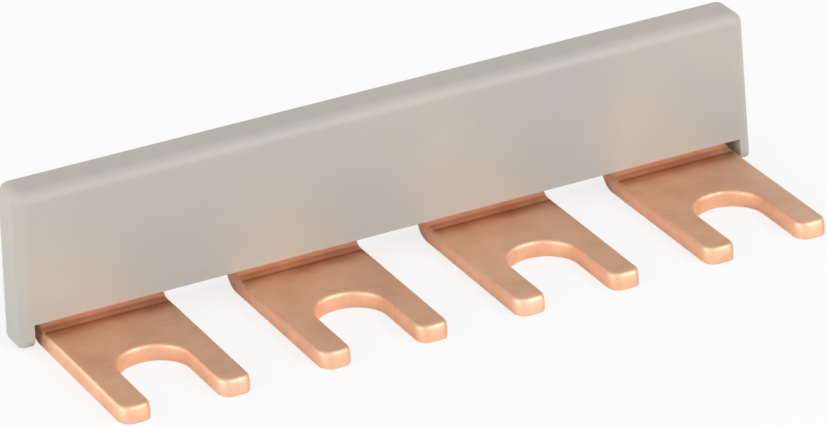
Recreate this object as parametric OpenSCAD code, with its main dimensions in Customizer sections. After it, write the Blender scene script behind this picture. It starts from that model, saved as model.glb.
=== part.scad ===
// Comb busbar with fork lugs: one stamped and bent copper comb in one moulded
// insulating cover. X runs along the row of lugs, the lugs point to -Y and Z is up.
// The origin is in the middle of the footprint, on the plane that the lugs lie on.

/* [Row] */
// Number of fork lugs
lug_count = 4; // [2:1:6]
// Spacing of the lugs, one modular device wide
pitch = 17.8; // [17:0.1:18.5]

/* [Fork lugs] */
// Width of each lug
lug_w = 11.6; // [11:0.1:12]
// Reach of the lugs in front of the cover
lug_reach = 15.8; // [14:0.1:18]
// Width of the open slot for the terminal screw
slot_w = 6; // [5.5:0.1:6.5]
// Depth of the slot, from the lug's tip to the end of its round
slot_depth = 9.2; // [8:0.1:11]
// Corner radius of the prong tips
tip_r = 0.9; // [0.4:0.1:1]

/* [Copper] */
// Thickness of the copper
copper_t = 1.5; // [1.2:0.1:1.8]
// Radius inside the bend
bend_r = 0.3; // [0.2:0.1:0.5]
// Height of the comb, from the lugs' underside to the upright strip's top edge
comb_h = 12.9; // [11:0.1:15]
// Height of each lug's neck between the bend and the upright strip
neck_h = 0.7; // [0.6:0.1:1.2]
// Radius of the inner corners beside each neck
neck_r = 0.5; // [0.2:0.1:0.6]

/* [Cover] */
// Thickness of the long walls and of the roof
wall_t = 1.2; // [1:0.1:1.5]
// Thickness of the end walls
end_wall_t = 1.2; // [1:0.1:1.6]
// Radius of the outer edges
edge_r = 1; // [0.5:0.1:1.2]
// Height of the end walls' feet above the plane that the lugs lie on
foot_z = 0.2; // [0.1:0.1:0.6]
// Height of the back wall's lower edge above the end walls' feet
back_lift = 0.65; // [0.1:0.05:1]

/* [Fits] */
// Clearance between the upright strip and each long wall
side_clear = 0.15; // [0.05:0.05:0.3]
// Clearance between the upright strip and each end wall
end_clear = 0.65; // [0.2:0.05:1]
// Clear height over the lugs, under the front wall
lug_clear = 0.85; // [0.3:0.05:1.2]

/* [Hidden] */

// Facets of the round features
fine = 64;
// Length by which a cut runs past the face that it opens
over = 1;

// Comb
row_x0 = -(lug_count - 1) * pitch / 2;
comb_len = (lug_count - 1) * pitch + lug_w;
slot_r = slot_w / 2;
prong_w = (lug_w - slot_w) / 2;
bend_out_r = copper_t + bend_r;
strip_z = bend_out_r + neck_h;

// Cover
cover_t = copper_t + 2 * side_clear + 2 * wall_t;
cover_top = comb_h + wall_t;
front_z = copper_t + lug_clear;
back_z = foot_z + back_lift;
cavity_x = comb_len / 2 + end_clear;
end_x = cavity_x + end_wall_t;

// Faces along Y, with the whole footprint centred on the origin
front_y = (lug_reach - cover_t) / 2;
tip_y = front_y - lug_reach;
back_y = front_y + cover_t;
strip_y = front_y + wall_t + side_clear;

// Rectangle from p to q with four rounded corners
module round_rect(p, q, r) {
    translate([p.x + r, p.y])
        square([q.x - p.x - 2 * r, q.y - p.y]);
    translate([p.x, p.y + r])
        square([q.x - p.x, q.y - p.y - 2 * r]);
    for (x = [p.x + r, q.x - r], y = [p.y + r, q.y - r])
        translate([x, y])
            circle(r = r, $fn = fine);
}

// The comb seen along the row: a flat lug, the bend and the upright strip
module side_profile() {
    far = 2 * bend_out_r;
    intersection() {
        translate([tip_y, 0])
            square([strip_y + copper_t - tip_y, comb_h]);
        difference() {
            round_rect([tip_y - far, 0], [strip_y + copper_t, comb_h + far], bend_out_r);
            round_rect([tip_y - 2 * far, copper_t], [strip_y, comb_h + 2 * far], bend_r);
        }
    }
}

// Stamped gap between two lugs, through the bend up to the upright strip's lower edge
module lug_gap() {
    translate([0, strip_y + copper_t + over, 0])
        rotate([90, 0, 0])
            linear_extrude(strip_y + copper_t - tip_y + 2 * over)
                round_rect([lug_w / 2, -2 * over], [pitch - lug_w / 2, strip_z], neck_r);
}

// What is stamped off the outer corner of a prong's tip, seen from above
module tip_corner() {
    difference() {
        translate([-over, -over])
            square([tip_r + over, tip_r + over]);
        translate([tip_r, tip_r])
            circle(r = tip_r, $fn = fine);
    }
}

// Open slot of a lug with the corners of its two prongs
module lug_slot() {
    translate([0, tip_y, -over])
        linear_extrude(copper_t + 2 * over) {
            translate([-slot_r, -over])
                square([slot_w, slot_depth - slot_r + over]);
            translate([0, slot_depth - slot_r])
                circle(r = slot_r, $fn = fine);
            for (x = [-lug_w / 2, slot_r])
                translate([x, 0]) {
                    tip_corner();
                    translate([prong_w, 0])
                        mirror([1, 0])
                            tip_corner();
                }
        }
}

// One piece of copper: an angle with the gaps between the lugs and the slots stamped out
module copper_comb() {
    color("peru")
        difference() {
            translate([-comb_len / 2, 0, 0])
                rotate([90, 0, 90])
                    linear_extrude(comb_len)
                        side_profile();
            for (i = [0 : lug_count - 2])
                translate([row_x0 + i * pitch, 0, 0])
                    lug_gap();
            for (i = [0 : lug_count - 1])
                translate([row_x0 + i * pitch, 0, 0])
                    lug_slot();
        }
}

// Solid cap before it is hollowed: a block with its edges rounded on every side but below
module cover_body() {
    below = foot_z - 2 * edge_r;
    intersection() {
        translate([0, 0, below])
            linear_extrude(cover_top - below)
                round_rect([-end_x, front_y], [end_x, back_y], edge_r);
        translate([0, back_y, 0])
            rotate([90, 0, 0])
                linear_extrude(cover_t)
                    round_rect([-end_x, below], [end_x, cover_top], edge_r);
        translate([-end_x, 0, 0])
            rotate([90, 0, 90])
                linear_extrude(2 * end_x)
                    round_rect([front_y, foot_z], [back_y, cover_top], edge_r);
    }
}

// Space between the end walls from y0 to y1, open below and closed above top
module between_ends(y0, y1, top) {
    translate([-cavity_x, y0, foot_z - over])
        cube([2 * cavity_x, y1 - y0, top - foot_z + over]);
}

// One moulded cap: roof, two long walls and two end walls with lower feet
module insulating_cover() {
    color("lightgray")
        difference() {
            cover_body();
            between_ends(front_y + wall_t, back_y - wall_t, comb_h);
            between_ends(front_y - over, front_y + wall_t, front_z);
            between_ends(back_y - wall_t, back_y + over, back_z);
        }
}

copper_comb();
insulating_cover();
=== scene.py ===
"""Comb busbar with fork lugs: a stamped and bent copper comb in a moulded cover."""
import bmesh
import bpy
from math import cos, pi, radians, sin, tan
from mathutils import Matrix, Vector


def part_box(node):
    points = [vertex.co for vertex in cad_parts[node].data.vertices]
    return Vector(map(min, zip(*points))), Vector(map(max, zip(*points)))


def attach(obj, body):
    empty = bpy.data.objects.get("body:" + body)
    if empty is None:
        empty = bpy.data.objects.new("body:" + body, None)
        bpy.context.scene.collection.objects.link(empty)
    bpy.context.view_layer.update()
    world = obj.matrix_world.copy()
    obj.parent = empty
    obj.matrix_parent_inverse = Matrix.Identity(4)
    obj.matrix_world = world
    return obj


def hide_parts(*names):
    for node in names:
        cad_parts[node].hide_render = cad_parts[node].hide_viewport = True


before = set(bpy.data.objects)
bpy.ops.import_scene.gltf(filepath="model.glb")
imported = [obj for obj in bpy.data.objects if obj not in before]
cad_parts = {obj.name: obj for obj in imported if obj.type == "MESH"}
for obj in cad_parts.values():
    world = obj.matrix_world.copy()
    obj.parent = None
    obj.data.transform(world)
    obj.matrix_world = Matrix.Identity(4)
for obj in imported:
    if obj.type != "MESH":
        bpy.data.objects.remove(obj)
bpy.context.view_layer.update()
MM = 0.001

comb_lo, comb_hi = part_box("copper_comb")
cover_lo, cover_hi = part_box("insulating_cover")

# ---------------------------------------------------------------- sizes, in mm
FRONT = cover_lo.y / MM          # cover's front face
BACK = cover_hi.y / MM
TOP = cover_hi.z / MM
FOOT = cover_lo.z / MM
END = cover_hi.x / MM
TIP = comb_lo.y / MM             # tips of the lugs
STRIP_BACK = comb_hi.y / MM      # back face of the upright strip
STRIP_TOP = comb_hi.z / MM
ROW = comb_hi.x / MM             # outer side of the last lug

PITCH, LUGS = 17.8, 4
LUG_W, SLOT_W, SLOT_DEPTH = 11.6, 6.0, 9.2
T = 1.5                          # copper thickness
BEND_R = 0.3                     # the CAD's radius inside the bend
NECK_TOP = 2.5                   # lower edge of the upright strip
NECK_R = 0.5                     # radius between a lug and the strip's lower edge
LEFT_R, RIGHT_R = 1.1, 0.8       # corners at each prong's tip, rounder on the left
NECK_STEPS, CORNER_STEPS, SLOT_STEPS = 6, 7, 28

# The sheared edge: rolled on top, eased underneath, and widest at WIDEST of the thickness.
ROLL, UNDER = 0.36, 0.10
WIDEST = 0.55
LOW_IN, HIGH_IN = 0.05, 0.03     # how far the edge draws in below and above its widest line
ROLL_STEPS, UNDER_STEPS = 6, 4
REACH, SWELL = 0.12, 0.22        # how far a tip stands out, and how much more at its underside
TIP_ZONE = 3                     # outline points this near the tip move out by REACH

# The bend is squeezed in the tool: a small radius outside, and a fuller hollow of HOLLOW
# radius inside, which starts with a visible line on the lug.
HOLLOW = 0.8
FULLNESS = 0.8                   # below 1 the hollow turns up sooner
BEND_SLICES, LUG_SLICES = 16, 11
ROW_SLICES, SLICE_GAP = 15, 2.07

WALL = 1.2
FRONT_EDGE, BACK_EDGE = 2.35, 0.85
CAVITY_X = END - WALL
COVER_R, COVER_STEPS = 1.0, 10
FOOT_SHARE = 0.25                # the ends' lower edges take this share of COVER_R
RIM_R, RIM_STEPS, RIM_ANGLE = 0.12, 3, radians(50)
LEAN = tan(radians(1.9))         # the cover's ends lean in towards its top
CLEAR, LAP = 1, 0.1              # how far a cutter stands out of the cover, and laps the cavity
TINY = 1e-6
NORMAL_WEIGHT = 60

# The comb is drawn as its flat blank, x along the row and s along a lug from its tip,
# and bent afterwards. s = 0 is at the tip, and the strip's top edge is at S_TOP.
STRIP_Y = STRIP_BACK - T
OUT_R = T + BEND_R
BEND_Y = STRIP_Y - BEND_R
START_Y = STRIP_Y - HOLLOW
RUN = (BEND_Y - START_Y, OUT_R * pi / 2, T + HOLLOW - OUT_R)
S_BEND = START_Y - TIP
S_UP = S_BEND + sum(RUN)
S_NECK = S_UP - (T + HOLLOW - NECK_TOP)
S_TOP = S_UP + (STRIP_TOP - T - HOLLOW)


def mesh_object(name, bm):
    mesh = bpy.data.meshes.new(name)
    bm.to_mesh(mesh)
    bm.free()
    obj = bpy.data.objects.new(name, mesh)
    bpy.context.scene.collection.objects.link(obj)
    return obj


# ---------------------------------------------------------------- the copper comb
def arc(cx, cy, r, a0, a1, n):
    angles = [a0 + (a1 - a0) * i / n for i in range(n + 1)]
    return [(cx + r * cos(a), cy + r * sin(a)) for a in angles]


def lug_outline(x):
    """One lug from the neck on its right, round both prongs and the slot, to the neck on its left."""
    w, r = LUG_W / 2, SLOT_W / 2
    out = []
    out += arc(x + w + NECK_R, S_NECK - NECK_R, NECK_R, pi / 2, pi, NECK_STEPS)
    out += arc(x + w - RIGHT_R, RIGHT_R, RIGHT_R, 0, -pi / 2, CORNER_STEPS)
    out += arc(x + r + LEFT_R, LEFT_R, LEFT_R, -pi / 2, -pi, CORNER_STEPS)
    out += arc(x, SLOT_DEPTH - r, r, 0, pi, SLOT_STEPS)
    out += arc(x - r - RIGHT_R, RIGHT_R, RIGHT_R, 0, -pi / 2, CORNER_STEPS)
    out += arc(x - w + LEFT_R, LEFT_R, LEFT_R, -pi / 2, -pi, CORNER_STEPS)
    out += arc(x - w - NECK_R, S_NECK - NECK_R, NECK_R, 0, pi / 2, NECK_STEPS)
    return out


def blank_outline():
    """The whole flat blank. The outer lugs have no neck at the ends of the row."""
    row = [(i - (LUGS - 1) / 2) * PITCH for i in range(LUGS)]
    neck = NECK_STEPS + 1
    pts = []
    for x in reversed(row):
        part = lug_outline(x)
        if x == row[-1]:
            part = part[neck:]
        if x == row[0]:
            part = part[:-neck]
        pts += part
    pts += [(-ROW, S_TOP), (ROW, S_TOP)]
    return [(x, s if s > TIP_ZONE else s - REACH) for x, s in pts]


def inset(pts, d):
    """The closed outline moved d into the material, with mitred corners."""
    twice_area = sum(a[0] * b[1] - b[0] * a[1] for a, b in zip(pts, pts[1:] + pts[:1]))
    inward = 1 if twice_area > 0 else -1
    out, n = [], len(pts)
    for i, p in enumerate(pts):
        a, b = Vector(pts[i - 1]), Vector(pts[(i + 1) % n])
        p = Vector(p)
        e1, e2 = (p - a).normalized(), (b - p).normalized()
        n1, n2 = Vector((-e1.y, e1.x)), Vector((-e2.y, e2.x))
        mitre = (n1 + n2) / (1 + n1.dot(n2))
        out.append(p + mitre * d * inward)
    return out


def edge_profile():
    """The sheared edge from the underside to the top, as (height, inset) pairs."""
    profile = [(0.0, UNDER + LOW_IN)]
    for i in range(1, UNDER_STEPS + 1):
        a = i / UNDER_STEPS * pi / 2
        profile.append((UNDER * (1 - cos(a)), LOW_IN + UNDER * (1 - sin(a))))
    profile.append((WIDEST * T, 0.0))
    for i in range(ROLL_STEPS + 1):
        a = i / ROLL_STEPS * pi / 2
        profile.append((T - ROLL * (1 - sin(a)), HIGH_IN + ROLL * (1 - cos(a))))
    return profile


def under_path(d):
    """Place on the underside and back, d past the start of the bend."""
    flat, turn, _ = RUN
    if d <= flat:
        return START_Y + d, 0
    a = min((d - flat) / OUT_R, pi / 2)
    return BEND_Y + OUT_R * sin(a), OUT_R * (1 - cos(a)) + max(0, d - flat - turn)


def over_path(d):
    """Place on the top and front, d past the start of the bend."""
    a = min(1, max(0, d / sum(RUN))) ** FULLNESS * pi / 2
    return START_Y + HOLLOW * sin(a), T + HOLLOW * (1 - cos(a))


def bend(x, s, h):
    """A point of the blank, h above its underside, taken to its place on the bent comb."""
    if s <= S_BEND:
        last_mm = min(1, max(0, 1 - s))
        return x, TIP + s - SWELL * (1 - h / T) * last_mm, h
    d = s - S_BEND
    rise = max(0, s - S_UP)
    (y0, z0), (y1, z1) = under_path(min(d, sum(RUN))), over_path(d)
    u = h / T
    return x, y0 + (y1 - y0) * u, z0 + (z1 - z0) * u + rise


def slice_all(bm, place, normal):
    geom = bm.verts[:] + bm.edges[:] + bm.faces[:]
    bmesh.ops.bisect_plane(bm, geom=geom, plane_co=place, plane_no=normal)


def build_comb():
    """The blank as stacked outlines, sliced so that it can bend and shades evenly, then bent."""
    outline = blank_outline()
    bm = bmesh.new()
    loops = [[bm.verts.new((p.x, p.y, h)) for p in inset(outline, d)] for h, d in edge_profile()]
    count = len(outline)
    for low, high in zip(loops, loops[1:]):
        for i in range(count):
            j = (i + 1) % count
            bm.faces.new((low[i], low[j], high[j], high[i]))
    bm.faces.new(loops[0])
    bm.faces.new(loops[-1])
    for i in range(BEND_SLICES + 1):
        slice_all(bm, (0, S_BEND + (S_UP - S_BEND) * i / BEND_SLICES, 0), (0, 1, 0))
    for i in range(1, LUG_SLICES):
        slice_all(bm, (0, S_BEND * i / LUG_SLICES, 0), (0, 1, 0))
    for i in range(-ROW_SLICES, ROW_SLICES + 1):
        slice_all(bm, (i * SLICE_GAP, 0, 0), (1, 0, 0))
    for v in bm.verts:
        v.co = Vector(bend(*v.co)) * MM
    bmesh.ops.recalc_face_normals(bm, faces=bm.faces[:])
    for f in bm.faces:
        f.smooth = True
    obj = mesh_object("comb", bm)
    obj.modifiers.new("normals", "WEIGHTED_NORMAL").weight = NORMAL_WEIGHT
    return obj


# ---------------------------------------------------------------- the cover
def block(x0, x1, y0, y1, z0, z1):
    bm = bmesh.new()
    v = {}
    for x in (x0, x1):
        for y in (y0, y1):
            for z in (z0, z1):
                v[x, y, z] = bm.verts.new((x, y, z))
    for f in (
        [(x0, y0, z0), (x0, y0, z1), (x0, y1, z1), (x0, y1, z0)],
        [(x1, y0, z0), (x1, y1, z0), (x1, y1, z1), (x1, y0, z1)],
        [(x0, y0, z0), (x1, y0, z0), (x1, y0, z1), (x0, y0, z1)],
        [(x0, y1, z0), (x0, y1, z1), (x1, y1, z1), (x1, y1, z0)],
        [(x0, y0, z0), (x0, y1, z0), (x1, y1, z0), (x1, y0, z0)],
        [(x0, y0, z1), (x1, y0, z1), (x1, y1, z1), (x0, y1, z1)],
    ):
        bm.faces.new([v[p] for p in f])
    return bm


def apply_modifiers(obj):
    dg = bpy.context.evaluated_depsgraph_get()
    mesh = bpy.data.meshes.new_from_object(obj.evaluated_get(dg))
    obj.modifiers.clear()
    obj.data = mesh


def round_edges(obj, method, width, segments):
    soft = obj.modifiers.new("round", "BEVEL")
    soft.limit_method = method
    soft.angle_limit = RIM_ANGLE
    soft.width = width
    soft.segments = segments
    apply_modifiers(obj)


def cut_away(obj, x0, x1, y0, y1, z0, z1):
    cutter = mesh_object("cutter", block(x0, x1, y0, y1, z0, z1))
    cut = obj.modifiers.new("cut", "BOOLEAN")
    cut.operation = "DIFFERENCE"
    cut.solver = "EXACT"
    cut.object = cutter
    apply_modifiers(obj)
    bpy.data.objects.remove(cutter)


def build_cover():
    """A rounded block, hollow from below, with open lower edges in front and behind."""
    bm = block(-END, END, FRONT, BACK, FOOT, TOP)
    weight = bm.edges.layers.float.new("bevel_weight_edge")
    for e in bm.edges:
        a, b = (v.co for v in e.verts)
        at_foot = abs(a.z - FOOT) < TINY and abs(b.z - FOOT) < TINY
        e[weight] = FOOT_SHARE if at_foot and abs(a.x - b.x) < TINY else 1.0
    obj = mesh_object("cover", bm)
    round_edges(obj, "WEIGHT", COVER_R, COVER_STEPS)
    low = FOOT - CLEAR
    cut_away(obj, -CAVITY_X, CAVITY_X, FRONT + WALL, BACK - WALL, low, STRIP_TOP)
    cut_away(obj, -CAVITY_X, CAVITY_X, FRONT - CLEAR, FRONT + WALL + LAP, low, FRONT_EDGE)
    cut_away(obj, -CAVITY_X, CAVITY_X, BACK - WALL - LAP, BACK + CLEAR, low, BACK_EDGE)
    round_edges(obj, "ANGLE", RIM_R, RIM_STEPS)
    for v in obj.data.vertices:
        v.co.x *= 1 - LEAN * (v.co.z - FOOT) / END
        v.co *= MM
    for p in obj.data.polygons:
        p.use_smooth = True
    obj.modifiers.new("normals", "WEIGHTED_NORMAL").weight = NORMAL_WEIGHT
    return obj


# ---------------------------------------------------------------- materials
BUMP_DEPTH = 0.0001              # metres
SHADE_AND_DULL_START = (FRONT - 0.36) * MM  # where the painted shade at each bend starts, and the duller copper, in metres


def node_tree(name):
    mat = bpy.data.materials.new(name)
    mat.use_nodes = True
    mat.node_tree.nodes.clear()
    return mat, mat.node_tree.nodes, mat.node_tree.links


def add(nodes, kind, **values):
    node = nodes.new(kind)
    for name, value in values.items():
        setattr(node, name, value)
    return node


def noise(N, L, vector, scale, detail, rough=0.5):
    node = add(N, "ShaderNodeTexNoise")
    node.inputs["Scale"].default_value = scale
    node.inputs["Detail"].default_value = detail
    node.inputs["Roughness"].default_value = rough
    L.new(vector, node.inputs["Vector"])
    return node.outputs["Fac"]


def stretched(N, L, vector, scale):
    node = add(N, "ShaderNodeMapping")
    node.inputs["Scale"].default_value = scale
    L.new(vector, node.inputs["Vector"])
    return node.outputs["Vector"]


def remap(N, L, value, given, wanted):
    """The value taken from the range given to the range wanted, and held at its ends."""
    node = add(N, "ShaderNodeMapRange")
    for name, end in zip(("From Min", "From Max", "To Min", "To Max"), (*given, *wanted)):
        node.inputs[name].default_value = end
    L.new(value, node.inputs["Value"])
    return node.outputs["Result"]


def calc(N, L, operation, a, b=0):
    node = add(N, "ShaderNodeMath", operation=operation)
    for i, v in enumerate((a, b)):
        if isinstance(v, (int, float)):
            node.inputs[i].default_value = v
        else:
            L.new(v, node.inputs[i])
    return node.outputs[0]


def ramp(N, L, value, stops):
    node = add(N, "ShaderNodeValToRGB")
    while len(node.color_ramp.elements) < len(stops):
        node.color_ramp.elements.new(0.5)
    for element, (place, colour) in zip(node.color_ramp.elements, stops):
        element.position, element.color = place, (*colour, 1)
    L.new(value, node.inputs["Fac"])
    return node.outputs["Color"]


def bump(N, L, height, strength):
    node = add(N, "ShaderNodeBump")
    node.inputs["Strength"].default_value = strength
    node.inputs["Distance"].default_value = BUMP_DEPTH
    L.new(height, node.inputs["Height"])
    return node.outputs["Normal"]


def split(N, L, vector):
    node = add(N, "ShaderNodeSeparateXYZ")
    L.new(vector, node.inputs[0])
    return node.outputs


def principled(N, L):
    out = add(N, "ShaderNodeOutputMaterial")
    shader = add(N, "ShaderNodeBsdfPrincipled")
    L.new(shader.outputs[0], out.inputs[0])
    return shader


def copper():
    """Bare rolled copper: clouds and rolling grain on the faces, upright shear marks on the edges."""
    mat, N, L = node_tree("copper")
    sh = principled(N, L)
    sh.inputs["Metallic"].default_value = 1.0
    place = add(N, "ShaderNodeTexCoord").outputs["Object"]
    normal = split(N, L, add(N, "ShaderNodeNewGeometry").outputs["Normal"])
    upward = calc(N, L, "ABSOLUTE", normal["Z"])
    flat = remap(N, L, upward, (0.45, 0.85), (0, 1))
    level = remap(N, L, upward, (0.80, 0.98), (0, 1))
    edge = calc(N, L, "SUBTRACT", 1, level)
    clouds = noise(N, L, place, scale=260, detail=7, rough=0.62)
    grain = noise(N, L, stretched(N, L, place, (0.12, 1, 1)), scale=2600, detail=3)
    shear = noise(N, L, stretched(N, L, place, (1, 1, 0.06)), scale=2400, detail=4, rough=0.6)

    grain_tone = calc(N, L, "MULTIPLY", calc(N, L, "SUBTRACT", grain, 0.5), 0.25)
    colour = ramp(N, L, calc(N, L, "ADD", clouds, grain_tone), (
        (0.30, (0.82, 0.475, 0.305)),
        (0.52, (0.90, 0.555, 0.370)),
        (0.72, (0.95, 0.615, 0.430)),
    ))
    # painted shade: a dark line where each bend starts, fading into the hollow
    back = split(N, L, place)["Y"]
    painted_shade = ramp(N, L, remap(N, L, back, (SHADE_AND_DULL_START, SHADE_AND_DULL_START + 0.0015), (0, 1)), (
        (0.00, (1, 1, 1)),
        (0.04, (0.47, 0.45, 0.44)),
        (0.18, (0.82, 0.83, 0.84)),
        (0.38, (1, 1, 1)),
    ))
    # the copper's colour multiplied by the painted shade on its flat faces
    shaded_colour = add(N, "ShaderNodeMix", data_type="RGBA", blend_type="MULTIPLY")
    L.new(flat, shaded_colour.inputs[0])
    L.new(colour, shaded_colour.inputs[6])
    L.new(painted_shade, shaded_colour.inputs[7])
    L.new(shaded_colour.outputs[2], sh.inputs["Base Color"])

    # the copper under the wall, out of reach of handling and polish, is duller
    face_rough = calc(N, L, "MULTIPLY", remap(N, L, clouds, (0.3, 0.7), (0.32, 0.44)), level)
    edge_rough = calc(N, L, "MULTIPLY", remap(N, L, shear, (0.3, 0.7), (0.50, 0.64)), edge)
    dull = remap(N, L, back, (SHADE_AND_DULL_START, SHADE_AND_DULL_START + 0.0005), (0, 0.22))
    rough = calc(N, L, "ADD", face_rough, edge_rough)
    L.new(calc(N, L, "ADD", rough, calc(N, L, "MULTIPLY", dull, flat)), sh.inputs["Roughness"])

    marks = calc(N, L, "MULTIPLY", calc(N, L, "MULTIPLY", shear, edge), 1.6)
    pits = calc(N, L, "ADD", calc(N, L, "MULTIPLY", grain, 0.35), noise(N, L, place, scale=700, detail=5))
    pits = calc(N, L, "MULTIPLY", pits, calc(N, L, "MULTIPLY", flat, 0.5))
    L.new(bump(N, L, calc(N, L, "ADD", marks, pits), 0.22), sh.inputs["Normal"])
    return mat


def plastic():
    """Milky moulded plastic: faint clouds in its depth and a fine satin skin."""
    mat, N, L = node_tree("cover_plastic")
    sh = principled(N, L)
    place = add(N, "ShaderNodeTexCoord").outputs["Object"]
    clouds = noise(N, L, place, scale=75, detail=5, rough=0.55)
    skin = noise(N, L, place, scale=2200, detail=3)
    # painted bounce light: the copper's warm glow on the wall over each lug, strongest low down
    xyz = split(N, L, place)
    lean = calc(N, L, "ADD", xyz["X"], calc(N, L, "MULTIPLY", xyz["Z"], 0.45))
    stray = calc(N, L, "MULTIPLY", calc(N, L, "SUBTRACT", clouds, 0.5), 0.012)
    lean = calc(N, L, "ADD", calc(N, L, "ADD", lean, stray), PITCH / 2 * MM)
    wave = calc(N, L, "COSINE", calc(N, L, "MULTIPLY", lean, 2 * pi / (PITCH * MM)))
    low = remap(N, L, xyz["Z"], (0.001, 0.0125), (1, 0.15))
    painted_bounce = calc(N, L, "MULTIPLY", calc(N, L, "MULTIPLY", wave, low), 0.32)
    colour = ramp(N, L, calc(N, L, "ADD", painted_bounce, clouds), (
        (0.12, (0.388, 0.386, 0.366)),
        (0.50, (0.420, 0.398, 0.362)),
        (0.88, (0.470, 0.424, 0.366)),
    ))
    L.new(colour, sh.inputs["Base Color"])
    L.new(remap(N, L, clouds, (0.3, 0.7), (0.44, 0.54)), sh.inputs["Roughness"])
    sh.inputs["Specular IOR Level"].default_value = 0.35
    sh.inputs["Subsurface Weight"].default_value = 0.45
    sh.inputs["Subsurface Radius"].default_value = (1.0, 0.85, 0.7)
    sh.inputs["Subsurface Scale"].default_value = 0.0012
    L.new(bump(N, L, skin, 0.06), sh.inputs["Normal"])
    return mat


comb = build_comb()
cover = build_cover()
comb.data.materials.append(copper())
cover.data.materials.clear()
cover.data.materials.append(plastic())
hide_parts("copper_comb")
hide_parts("insulating_cover")
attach(comb, "root")
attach(cover, "root")

# ---------------------------------------------------------------- floor, lights, camera
PAPER, GLOW, GLOW_SHARE = 0.84, 0.985, 0.8
FLOOR_HALF = 3                   # metres
FLOOR_DROP = 0.02 * MM           # keeps the floor's face apart from the lugs' undersides
SKY_LIGHT, SKY_SEEN = 0.61, 0.89
LAMP_AIM = (0, 0, 0.005)
TURN, TILT, CANT = radians(24.96), radians(25.56), radians(-3.39)
DISTANCE, LENS, SENSOR = 0.47103, 243.36, 36
AIM_RIGHT, AIM_UP = 1.268, 3.565  # mm, from the middle of the cover's front foot

scene = bpy.context.scene
scene.view_settings.view_transform = "Standard"


def camera_ray(N):
    return add(N, "ShaderNodeLightPath").outputs["Is Camera Ray"]


def white_floor():
    """White paper, washed out to the camera as on an overexposed sweep, with the shadow kept."""
    mat, N, L = node_tree("floor")
    out = add(N, "ShaderNodeOutputMaterial")
    paper = add(N, "ShaderNodeBsdfDiffuse")
    paper.inputs["Color"].default_value = (PAPER, PAPER, PAPER, 1)
    glow = add(N, "ShaderNodeEmission")
    glow.inputs["Color"].default_value = (1, 1, 1, 1)
    glow.inputs["Strength"].default_value = GLOW
    mix = add(N, "ShaderNodeMixShader")
    L.new(calc(N, L, "MULTIPLY", camera_ray(N), GLOW_SHARE), mix.inputs[0])
    L.new(paper.outputs[0], mix.inputs[1])
    L.new(glow.outputs[0], mix.inputs[2])
    L.new(mix.outputs[0], out.inputs[0])
    bm = bmesh.new()
    bmesh.ops.create_grid(bm, x_segments=1, y_segments=1, size=FLOOR_HALF)
    obj = mesh_object("floor", bm)
    obj.data.materials.append(mat)
    obj.location.z = -FLOOR_DROP
    return obj


def pale_sky():
    world = bpy.data.worlds.new("world")
    scene.world = world
    world.use_nodes = True
    N, L = world.node_tree.nodes, world.node_tree.links
    sky = N["Background"]
    sky.inputs["Color"].default_value = (1, 1, 1, 1)
    L.new(remap(N, L, camera_ray(N), (0, 1), (SKY_LIGHT, SKY_SEEN)), sky.inputs["Strength"])


def lamp(name, place, side_length, power):
    data = bpy.data.lights.new(name, "AREA")
    data.shape = "RECTANGLE"
    data.size = data.size_y = side_length
    data.energy = power
    obj = bpy.data.objects.new(name, data)
    scene.collection.objects.link(obj)
    obj.location = place
    obj.rotation_mode = "QUATERNION"
    obj.rotation_quaternion = (Vector(place) - Vector(LAMP_AIM)).to_track_quat("Z", "Y")


def photo_camera():
    """The camera turned, tilted and canted as the photograph's, with the same long lens."""
    ahead = Vector((sin(TURN) * cos(TILT), cos(TURN) * cos(TILT), -sin(TILT)))
    side = Vector((cos(TURN), -sin(TURN), 0))
    up = side.cross(ahead)
    right = side * cos(CANT) + up * sin(CANT)
    above = up * cos(CANT) - side * sin(CANT)
    aim = Vector((0, FRONT, 0)) * MM + right * AIM_RIGHT * MM + above * AIM_UP * MM
    data = bpy.data.cameras.new("camera")
    data.sensor_width = SENSOR
    data.lens = LENS
    data.clip_start, data.clip_end = 0.01, 20
    obj = bpy.data.objects.new("camera", data)
    scene.collection.objects.link(obj)
    axes = Matrix((right, above, -ahead)).transposed().to_4x4()
    obj.matrix_world = Matrix.Translation(aim - ahead * DISTANCE) @ axes
    return obj


floor = white_floor()
pale_sky()
lamp("key", (0.30, -0.48, 0.33), 0.40, 2.8)
lamp("left", (-0.60, -0.16, 0.17), 0.45, 2.3)
lamp("back", (-0.42, 0.50, 0.28), 0.50, 1.3)
scene.camera = photo_camera()
